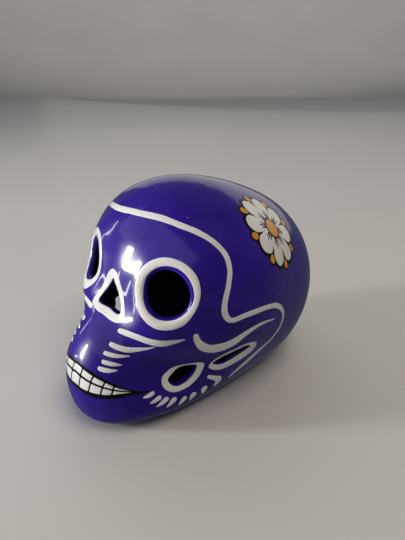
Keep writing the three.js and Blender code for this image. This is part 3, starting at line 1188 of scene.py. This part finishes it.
class NodeBench:
    """Shorthand for adding and linking the nodes of one tree."""

    def __init__(self, tree: bpy.types.NodeTree) -> None:
        """Keep the tree and count its nodes for their places in the editor."""
        self.tree = tree
        self.step = 0

    def add(self, kind: str, **settings: object) -> bpy.types.Node:
        """Add a node.

        Args:
            kind: Blender's name for the node type.
            settings: properties of the node.

        Returns:
            The new node.
        """
        node = self.tree.nodes.new(kind)
        node.location = (self.step * NODE_COLUMN, -(self.step % NODE_ROWS) * NODE_ROW)
        self.step += 1
        for name, value in settings.items():
            setattr(node, name, value)
        return node

    def link(self, source: Socket, target: Socket) -> None:
        """Join an output to an input."""
        self.tree.links.new(source, target)

    def noise(self, vector: Socket, scale: float, detail: float) -> Socket:
        """Add a noise pattern and return its value."""
        node = self.add("ShaderNodeTexNoise")
        node.inputs["Scale"].default_value = scale
        node.inputs["Detail"].default_value = detail
        self.link(vector, node.inputs["Vector"])
        return node.outputs["Fac"]

    def spread(self, value: Socket, span: Pair, result: Pair = WHOLE) -> Socket:
        """Map a span of values onto another span, clamped."""
        node = self.add("ShaderNodeMapRange", clamp=True)
        for name, number in zip(("From Min", "From Max", "To Min", "To Max"), span + result):
            node.inputs[name].default_value = number
        self.link(value, node.inputs["Value"])
        return node.outputs["Result"]

    def cloud(self, vector: Socket, noise: Pair, span: Pair, result: Pair = WHOLE) -> Socket:
        """Add a noise pattern of some scale and detail, and map a span of its values."""
        return self.spread(self.noise(vector, *noise), span, result)

    def maths(self, kind: str, first: Socket, second: Socket | float) -> Socket:
        """Join two values with one sum."""
        node = self.add("ShaderNodeMath", operation=kind)
        self.link(first, node.inputs[0])
        if isinstance(second, float):
            node.inputs[1].default_value = second
        else:
            self.link(second, node.inputs[1])
        return node.outputs["Value"]

    def times(self, first: Socket, second: Socket | float) -> Socket:
        """Multiply two values."""
        return self.maths("MULTIPLY", first, second)

    def plus(self, first: Socket, second: Socket) -> Socket:
        """Add two values."""
        return self.maths("ADD", first, second)

    def mix(self, share: Socket, first: Socket | Triple, second: Socket | Triple) -> Socket:
        """Mix two colours, each a socket or a plain colour."""
        node = self.add("ShaderNodeMix", data_type="RGBA")
        self.link(share, node.inputs["Factor"])
        for colour, socket in ((first, node.inputs[MIX_FIRST]), (second, node.inputs[MIX_SECOND])):
            if isinstance(colour, tuple):
                socket.default_value = colour + (1.0,)
            else:
                self.link(colour, socket)
        return node.outputs[MIX_RESULT]


def new_material(name: str) -> tuple[bpy.types.Material, NodeBench, bpy.types.Node, Socket]:
    """Start a material.

    Args:
        name: name of the material.

    Returns:
        The material, its bench, its shader and the place on the piece.
    """
    material = bpy.data.materials.new(name)
    material.use_nodes = True
    bench = NodeBench(material.node_tree)
    place = bench.add("ShaderNodeTexCoord").outputs["Object"]
    return material, bench, material.node_tree.nodes["Principled BSDF"], place


def new_group(name: str, inputs: dict[str, float | None], outputs: Sequence[str]) -> tuple:
    """Start a shader node group.

    Args:
        name: name of the group.
        inputs: default of each named value, or None where the input is a vector.
        outputs: name of each value that the group puts out.

    Returns:
        The group, its bench, its input node and its output node.
    """
    group = bpy.data.node_groups.new(name, "ShaderNodeTree")
    for label, default in inputs.items():
        kind = "NodeSocketVector" if default is None else "NodeSocketFloat"
        socket = group.interface.new_socket(label, in_out="INPUT", socket_type=kind)
        if default is not None:
            socket.default_value = default
    for label in outputs:
        group.interface.new_socket(label, in_out="OUTPUT", socket_type="NodeSocketFloat")
    bench = NodeBench(group)
    return group, bench, bench.add("NodeGroupInput"), bench.add("NodeGroupOutput")


@dataclass(frozen=True)
class HandFinish:
    """Uneven skin of hand-rubbed clay under its clear coat; each noise has a scale and a detail."""

    waves: Pair = (70.0, 2.0)
    ripples: Pair = (210.0, 2.0)
    ripple_share: float = 0.14
    pits: Pair = (900.0, 2.0)
    pit_share: float = 0.05
    smudges: Pair = (45.0, 5.0)
    smudge_span: Pair = (0.42, 0.68)
    speck_scale: float = 260.0
    speck_span: Pair = (0.07, 0.045)
    rare: Pair = (120.0, 1.0)
    rare_span: Pair = (0.59, 0.63)

    def group(self) -> bpy.types.NodeTree:
        """Build the group that puts out the height, the smudges and the specks of the skin."""
        group, bench, given, result = new_group(
            "hand_finish", {"Vector": None, "Waviness": 1.0, "Pitting": 1.0}, ("Height", "Smudge", "Specks"),
        )
        place = given.outputs["Vector"]
        ripples = bench.times(bench.noise(place, *self.ripples), self.ripple_share)
        waves = bench.times(bench.plus(bench.noise(place, *self.waves), ripples), given.outputs["Waviness"])
        pits = bench.times(bench.noise(place, *self.pits), given.outputs["Pitting"])
        bench.link(bench.plus(waves, bench.times(pits, self.pit_share)), result.inputs["Height"])
        bench.link(bench.cloud(place, self.smudges, self.smudge_span), result.inputs["Smudge"])
        cells = bench.add("ShaderNodeTexVoronoi")
        cells.inputs["Scale"].default_value = self.speck_scale
        bench.link(place, cells.inputs["Vector"])
        dots = bench.spread(cells.outputs["Distance"], self.speck_span)
        bench.link(bench.times(dots, bench.cloud(place, self.rare, self.rare_span)), result.inputs["Specks"])
        return group


@dataclass(frozen=True)
class BrushStreaks:
    """Streaks that a brush leaves along its way, and how they thin out where it runs dry."""

    stretch: Triple = (0.8, 7.0, 1.0)
    grain: Pair = (2.6, 4.0)
    streak_span: Pair = (0.3, 0.7)
    dry_span: Pair = (0.35, 0.6)
    dry_share: Pair = (0.25, 1.0)

    def group(self) -> bpy.types.NodeTree:
        """Build the group that puts out the streaks and the thin places."""
        group, bench, given, result = new_group(
            "brush_streaks", {"Along": None, "Tail": 0.0}, ("Streaks", "Thin"),
        )
        stretch = bench.add("ShaderNodeMapping")
        stretch.inputs["Scale"].default_value = self.stretch
        bench.link(given.outputs["Along"], stretch.inputs["Vector"])
        streaks = bench.noise(stretch.outputs["Vector"], *self.grain)
        bench.link(bench.spread(streaks, self.streak_span), result.inputs["Streaks"])
        dry = bench.spread(streaks, self.dry_span, self.dry_share)
        bench.link(bench.times(given.outputs["Tail"], dry), result.inputs["Thin"])
        return group


@dataclass(frozen=True)
class Glaze:
    """Clear coat over the hand-rubbed skin, the same in kind over every paint of the figure."""

    coat_roughness: float
    pitting: float
    bump_strength: float
    coat_ior: float = 1.34
    under_coat_shine: float = 0.18
    waviness: float = 1.0
    bump_depth: float = 0.0006

    def skin(self, bench: NodeBench, place: Socket, hand: bpy.types.NodeTree) -> bpy.types.Node:
        """Place the hand-rubbed skin in a material.

        Args:
            bench: the bench of the material.
            place: the place on the piece.
            hand: the group of the hand-rubbed skin.

        Returns:
            The node of the group.
        """
        skin = bench.add("ShaderNodeGroup", node_tree=hand)
        bench.link(place, skin.inputs["Vector"])
        skin.inputs["Waviness"].default_value = self.waviness
        skin.inputs["Pitting"].default_value = self.pitting
        return skin

    def cover(self, bench: NodeBench, shader: bpy.types.Node, height: Socket) -> None:
        """Lay the clear coat over a paint.

        Args:
            bench: the bench of the material.
            shader: its shader.
            height: how high the skin stands at each place.
        """
        shader.inputs["Coat Roughness"].default_value = self.coat_roughness
        shader.inputs["Coat IOR"].default_value = self.coat_ior
        shader.inputs["Specular IOR Level"].default_value = self.under_coat_shine
        bump = bench.add("ShaderNodeBump")
        bump.inputs["Strength"].default_value = self.bump_strength
        bump.inputs["Distance"].default_value = self.bump_depth
        bench.link(height, bump.inputs["Height"])
        for name in ("Normal", "Coat Normal"):
            bench.link(bump.outputs["Normal"], shader.inputs[name])


BODY_GLAZE = Glaze(coat_roughness=0.035, pitting=0.6, bump_strength=0.35)
BRUSHED_GLAZE = Glaze(coat_roughness=0.04, pitting=1.2, bump_strength=0.4)


@dataclass(frozen=True)
class BodyFinish:
    """Purple paint under a clear coat outside, and matt uncoated clay inside under a near-black painted
    shade.
    """

    purple: Triple = (0.023, 0.006, 0.235)
    worn: Triple = (0.032, 0.011, 0.285)
    deep: Triple = (0.012, 0.002, 0.12)
    # Near-black painted shade of the hollow inside and of the deep hole walls.
    inside: Triple = (0.006, 0.004, 0.010)
    speck: Triple = (0.45, 0.42, 0.62)
    speck_share: float = 0.8
    tone: Pair = (28.0, 4.0)
    tone_span: Pair = (0.35, 0.65)
    cloud: Pair = (17.0, 4.0)
    cloud_span: Pair = (0.45, 0.7)
    cloud_share: Pair = (0.0, 0.65)
    ragged: Pair = (160.0, 3.0)
    ragged_span: Pair = (0.3, 0.7)
    ragged_reach: Pair = (-0.7, 0.7)
    # Over this span of depth under the outer skin the clay turns matt and uncoated and takes the painted
    # shade.
    uncoated_shade_span: Pair = (2.2, 3.8)
    roughness: Pair = (0.2, 0.34)
    bare_roughness: float = 0.6
    glaze: Glaze = BODY_GLAZE

    def material(self, hand: bpy.types.NodeTree) -> bpy.types.Material:
        """Build the material of the clay body."""
        material, bench, shader, place = new_material("purple_glaze")
        skin = self.glaze.skin(bench, place, hand)
        colour = bench.mix(bench.cloud(place, self.tone, self.tone_span), self.purple, self.worn)
        clouds = bench.cloud(place, self.cloud, self.cloud_span, self.cloud_share)
        colour = bench.mix(clouds, colour, self.deep)
        colour = bench.mix(bench.times(skin.outputs["Specks"], self.speck_share), colour, self.speck)
        depth = bench.add("ShaderNodeAttribute", attribute_name="depth").outputs["Fac"]
        ragged = bench.cloud(place, self.ragged, self.ragged_span, self.ragged_reach)
        # Mask of the matt uncoated inside, which also carries the painted shade colour.
        uncoated_and_shaded = bench.spread(bench.plus(depth, ragged), self.uncoated_shade_span)
        bench.link(bench.mix(uncoated_and_shaded, colour, self.inside), shader.inputs["Base Color"])
        gloss = bench.spread(skin.outputs["Smudge"], WHOLE, self.roughness)
        bench.link(bench.plus(gloss, bench.times(uncoated_and_shaded, self.bare_roughness)), shader.inputs["Roughness"])
        bench.link(bench.spread(uncoated_and_shaded, WHOLE, (1.0, 0.0)), shader.inputs["Coat Weight"])
        self.glaze.cover(bench, shader, skin.outputs["Height"])
        return material


@dataclass(frozen=True)
class BrushPaint:
    """Paint that was laid on with a brush and coated with the rest."""

    name: str
    full: Triple
    thin: Triple
    under: Triple = (0.034, 0.014, 0.30)
    under_share: float = 0.45
    streak_share: float = 0.5
    streak_height: float = 0.06
    roughness: Pair = (0.3, 0.42)
    glaze: Glaze = BRUSHED_GLAZE

    def material(self, hand: bpy.types.NodeTree, brush: bpy.types.NodeTree) -> bpy.types.Material:
        """Build the material of one brushed paint."""
        material, bench, shader, place = new_material(self.name)
        skin = self.glaze.skin(bench, place, hand)
        streaks = bench.add("ShaderNodeGroup", node_tree=brush)
        bench.link(bench.add("ShaderNodeUVMap", uv_map="brush").outputs["UV"], streaks.inputs["Along"])
        tail = bench.add("ShaderNodeAttribute", attribute_name="tail")
        bench.link(tail.outputs["Fac"], streaks.inputs["Tail"])
        colour = bench.mix(bench.times(streaks.outputs["Streaks"], self.streak_share), self.full, self.thin)
        colour = bench.mix(bench.times(streaks.outputs["Thin"], self.under_share), colour, self.under)
        bench.link(colour, shader.inputs["Base Color"])
        bench.link(bench.spread(skin.outputs["Smudge"], WHOLE, self.roughness), shader.inputs["Roughness"])
        shader.inputs["Coat Weight"].default_value = 1.0
        ridges = bench.times(streaks.outputs["Streaks"], self.streak_height)
        self.glaze.cover(bench, shader, bench.plus(skin.outputs["Height"], ridges))
        return material


@dataclass
class SkullFigure:
    """The whole figure: the clay body with its painting."""

    body: CastBody = CastBody()
    face: FacePainting = FacePainting()
    mouth: Mouth = Mouth()
    flower_middle: Triple = (41.7, 14.5, 90.5)
    smoothing: float = 0.5
    # Near these openings the painted shade inside starts sooner, by so many millimetres of depth.
    dark_zone: float = 2.5
    darker: tuple[tuple[Opening, float], ...] = ((SLIT, 1.3), (FAR_SLIT, 1.3), (NOSE, 1.8))
    body_finish: BodyFinish = BodyFinish()
    white: BrushPaint = BrushPaint("white_linework", (0.80, 0.79, 0.77), (0.66, 0.65, 0.66))
    black: BrushPaint = BrushPaint(
        "black_linework", (0.004, 0.004, 0.005), (0.008, 0.007, 0.010), roughness=(0.25, 0.37),
        glaze=replace(BRUSHED_GLAZE, coat_ior=1.2, under_coat_shine=0.05),
    )
    gold: BrushPaint = BrushPaint("gold_linework", (0.72, 0.30, 0.012), (0.62, 0.23, 0.008))

    def clay(self) -> bmesh.types.BMesh:
        """Build the hollow body with its depth mask, which also says where the painted shade starts."""
        mesh = self.body.rough_solid()
        bm = bmesh.new()
        bm.from_mesh(mesh)
        bpy.data.meshes.remove(mesh)
        bmesh.ops.smooth_vert(
            bm, verts=bm.verts, factor=self.smoothing, use_axis_x=True, use_axis_y=True, use_axis_z=True,
        )
        self.refine_rims(bm)
        points = np.array([vert.co for vert in bm.verts]) / MM
        points = self.body.settle(points)
        depth = self.body.form.depth(points)[0]
        mask = bm.verts.layers.float.new("depth")
        for vert, point, under, darker in zip(bm.verts, points, depth, self.darkening(points)):
            vert.co = Vector(point) * MM
            vert[mask] = -under + darker
        for face in bm.faces:
            face.smooth = True
        return bm

    def darkening(self, points: np.ndarray) -> np.ndarray:
        """Return how much sooner the painted shade and the matt uncoated clay start inside the nose and the
        slits.
        """
        extra = np.zeros(len(points))
        for opening, step in self.darker:
            extra[np.abs(opening.clearance(points)[0]) < self.dark_zone] = step
        return extra

    def refine_rims(self, bm: bmesh.types.BMesh) -> None:
        """Divide the net once more close to the rims of the openings."""
        points = np.array([vert.co for vert in bm.verts]) / MM
        gaps = [np.abs(opening.clearance(points)[0]) for opening in self.body.openings]
        near = np.min(gaps, axis=0) < self.body.rim_zone
        bm.verts.index_update()
        edges = [edge for edge in bm.edges if near[edge.verts[0].index] and near[edge.verts[1].index]]
        bmesh.ops.subdivide_edges(bm, edges=edges, cuts=1, use_grid_fill=True)

    def flower_place(self, side: float) -> Opening:
        """Return the frame of the flower on one side, 1 for left and -1 for right."""
        across, along, up = self.flower_middle
        middle = self.body.form.settle(np.array([[across * side, along, up]]))
        out = self.body.form.depth(middle)[1]
        return Opening("flower", tuple(middle[0]), tuple(out[0]), circle(1.0), 1.0)

    def painting(self) -> bmesh.types.BMesh:
        """Lay all the paint on the clay."""
        layer = PaintLayer(self.body)
        self.face.paint_on(layer)
        self.mouth.paint_on(layer)
        for side in (1.0, -1.0):
            PaintedFlower(self.flower_place(side)).paint_on(layer)
        return layer.bm

    def build(self) -> bpy.types.Object:
        """Build the figure as one object and give it its paints."""
        clay = loose_object("clay_body", self.clay())
        clay_count = len(clay.data.vertices)
        paint = loose_object("painting", self.painting())
        bm = bmesh.new()
        bm.from_mesh(clay.data)
        bm.from_mesh(paint.data)
        figure = loose_object("skull_figure", bm)
        LOG.info("clay %d vertices, figure %d", clay_count, len(figure.data.vertices))
        forget((clay, paint))
        self.set_normals(figure.data, clay_count)
        self.dress(figure)
        return figure

    def set_normals(self, mesh: bpy.types.Mesh, clay_count: int) -> None:
        """Shade the clay with the true direction of its form, and leave the paint as it is."""
        points = np.empty(len(mesh.vertices) * 3, np.float32)
        mesh.vertices.foreach_get("co", points)
        points = points.reshape(-1, 3)[:clay_count].astype(float) / MM
        normals = np.zeros((len(mesh.vertices), 3))
        normals[:clay_count] = self.body.surface(points)[1]
        mesh.normals_split_custom_set_from_vertices([tuple(normal) for normal in normals])

    def dress(self, figure: bpy.types.Object) -> None:
        """Fill the material slots in the order of the paints."""
        hand = HandFinish().group()
        brush = BrushStreaks().group()
        figure.data.materials.append(self.body_finish.material(hand))
        for paint in (self.white, self.black, self.gold):
            figure.data.materials.append(paint.material(hand, brush))


class LampUse(Enum):
    """What a lamp gives: soft light, a mirror image in the glaze, or both."""

    BOTH = (True, True)
    SOFT = (True, False)
    MIRRORED = (False, True)


@dataclass(frozen=True)
class Lamp:
    """Rectangular lamp that looks at the figure, with sizes in metres and power in watts.

    Its bearing runs from -Y towards +X and its rise from the horizon upwards, in degrees. Where the distance
    is below zero, the lamp hangs on the other side and shines away from the figure.
    """

    name: str
    bearing: float
    rise: float
    away: float
    size: Pair
    power: float
    colour: Triple
    use: LampUse = LampUse.BOTH

    def direction(self) -> Vector:
        """Return the direction from the figure."""
        turn = math.radians(self.bearing)
        lift = math.radians(self.rise)
        return Vector((math.sin(turn) * math.cos(lift), -math.cos(turn) * math.cos(lift), math.sin(lift)))

    def place(self, aim: Vector) -> Matrix:
        """Return where the lamp hangs and how it is turned."""
        direction = self.direction()
        axes = direction.to_track_quat("Z", "Y").to_matrix().to_4x4()
        return Matrix.Translation(aim + direction * self.away) @ axes

    def hang(self, aim: Vector) -> None:
        """Put the lamp into the scene, unseen by the camera."""
        data = bpy.data.lights.new(self.name, "AREA")
        data.shape = "RECTANGLE"
        data.size, data.size_y = self.size
        data.energy = self.power
        data.color = self.colour
        lamp = bpy.data.objects.new(self.name, data)
        lamp.matrix_world = self.place(aim)
        lamp.visible_camera = False
        lamp.visible_diffuse, lamp.visible_glossy = self.use.value
        bpy.context.scene.collection.objects.link(lamp)


@dataclass(frozen=True)
class FloorStrip(Lamp):
    """Strip of light just over the floor that shines upwards, like a window in a polished floor."""

    above: float = 0.004

    def place(self, aim: Vector) -> Matrix:
        """Return where the strip lies and how it is turned."""
        ahead = self.direction()
        across = Vector((-ahead.y, ahead.x, 0.0))
        axes = Matrix((across, ahead, Vector((0.0, 0.0, -1.0)))).transposed().to_4x4()
        return Matrix.Translation(ahead * self.away + Vector((0.0, 0.0, self.above))) @ axes


@dataclass(frozen=True)
class Studio:
    """Pale floor, camera and lamps around the figure, in metres and degrees."""

    camera_place: Triple = (0.16076, -0.14525, 0.16142)
    camera_turn: float = 46.58
    camera_pitch: float = 25.5
    camera_roll: float = -0.24
    focal_pixels: float = 423.07
    long_side_pixels: float = 540.0
    sensor: float = 36.0
    camera_clip: Pair = (0.01, 20.0)
    floor_profile: tuple[Pair, ...] = (
        (0.0, 0.0), (0.7, 0.0), (1.3, 0.0), (1.9, 0.05), (2.4, 0.3), (2.7, 0.9), (2.8, 1.8),
    )
    floor_steps: int = 64
    floor_weld: float = 1e-5
    floor_cloud: Pair = (3.0, 3.0)
    floor_span: Pair = (0.3, 0.7)
    floor_colours: tuple[Triple, Triple] = ((0.58, 0.57, 0.55), (0.62, 0.61, 0.59))
    floor_roughness: float = 0.5
    air_colour: Triple = (0.92, 0.94, 1.0)
    air_strength: float = 0.08
    aim: Triple = (0.0, -0.01, 0.05)
    lamps: tuple[Lamp, ...] = (
        Lamp("window", -38.0, 7.5, 1.1, (0.10, 0.36), 13.0, (1.0, 0.99, 0.98)),
        FloorStrip("gleam", -41.0, 0.0, 0.38, (0.012, 0.30), 0.16, (0.93, 0.96, 1.0), LampUse.MIRRORED),
        Lamp("side_window", -70.0, 10.0, 1.2, (0.04, 0.40), 0.35, (1.0, 0.98, 0.96)),
        Lamp("ceiling", -130.0, 48.0, 1.5, (1.5, 1.1), 5.0, (0.95, 0.97, 1.0), LampUse.SOFT),
        Lamp("room", 100.0, 66.0, 1.2, (0.7, 0.7), 6.5, (1.0, 0.89, 0.79), LampUse.SOFT),
        Lamp("backdrop", 47.0, -30.0, -1.5, (2.2, 1.0), 11.0, (1.0, 0.97, 0.93), LampUse.SOFT),
        Lamp("rear_panel", -148.0, 15.0, 1.5, (2.2, 0.8), 2.3, (1.0, 0.95, 0.86), LampUse.MIRRORED),
        Lamp("front_panel", -18.0, 39.0, 1.6, (3.0, 1.05), 6.2, (0.86, 0.92, 1.0), LampUse.MIRRORED),
    )

    def floor(self) -> None:
        """Make a wide round floor whose rim rises into a backdrop, and which the glaze doesn't mirror."""
        bm = bmesh.new()
        verts = [bm.verts.new((radius, 0.0, height)) for radius, height in self.floor_profile]
        edges = [bm.edges.new(pair) for pair in zip(verts, verts[1:])]
        bmesh.ops.spin(
            bm, geom=verts + edges, cent=(0.0, 0.0, 0.0), axis=(0.0, 0.0, 1.0),
            angle=2.0 * math.pi, steps=self.floor_steps, use_merge=True,
        )
        bmesh.ops.remove_doubles(bm, verts=bm.verts, dist=self.floor_weld)
        bmesh.ops.recalc_face_normals(bm, faces=bm.faces)
        for face in bm.faces:
            face.smooth = True
        floor = loose_object("floor", bm)
        floor.data.materials.append(self.floor_finish())
        floor.visible_glossy = False

    def floor_finish(self) -> bpy.types.Material:
        """Build the matt pale finish of the floor."""
        material, bench, shader, place = new_material("pale_floor")
        tone = bench.cloud(place, self.floor_cloud, self.floor_span)
        bench.link(bench.mix(tone, *self.floor_colours), shader.inputs["Base Color"])
        shader.inputs["Roughness"].default_value = self.floor_roughness
        return material

    def camera_axes(self) -> Matrix:
        """Return how the camera is turned."""
        turn = math.radians(self.camera_turn)
        pitch = math.radians(self.camera_pitch)
        roll = math.radians(self.camera_roll)
        level = Vector((math.cos(turn), math.sin(turn), 0.0))
        flat = math.cos(pitch)
        ahead = Vector((-math.sin(turn) * flat, math.cos(turn) * flat, -math.sin(pitch)))
        upright = level.cross(ahead)
        right = level * math.cos(roll) + upright * math.sin(roll)
        up = upright * math.cos(roll) - level * math.sin(roll)
        return Matrix((right, up, -ahead)).transposed().to_4x4()

    def camera(self) -> None:
        """Stand the camera where the photograph was taken from."""
        data = bpy.data.cameras.new("camera")
        data.sensor_width = self.sensor
        data.lens = self.focal_pixels / self.long_side_pixels * self.sensor
        data.clip_start, data.clip_end = self.camera_clip
        camera = bpy.data.objects.new("camera", data)
        camera.matrix_world = Matrix.Translation(self.camera_place) @ self.camera_axes()
        bpy.context.scene.collection.objects.link(camera)
        bpy.context.scene.camera = camera

    def air(self) -> None:
        """Fill the room with a weak even light."""
        world = bpy.data.worlds.new("soft_room")
        world.use_nodes = True
        background = world.node_tree.nodes["Background"]
        background.inputs["Color"].default_value = self.air_colour + (1.0,)
        background.inputs["Strength"].default_value = self.air_strength
        bpy.context.scene.world = world

    def set_up(self) -> None:
        """Put everything around the figure in place."""
        self.camera()
        self.floor()
        self.air()
        for lamp in self.lamps:
            lamp.hang(Vector(self.aim))
        bpy.context.scene.view_settings.view_transform = "Standard"


def main() -> None:
    """Build the studio and the figure, in that order."""
    logging.basicConfig(level=logging.INFO, format="%(name)s: %(message)s")
    Studio().set_up()
    figure = SkullFigure().build()
    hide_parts("skull")
    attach(figure, "root")
    LOG.info("%s: %d faces", figure.name, len(figure.data.polygons))


if __name__ == "__main__":
    main()
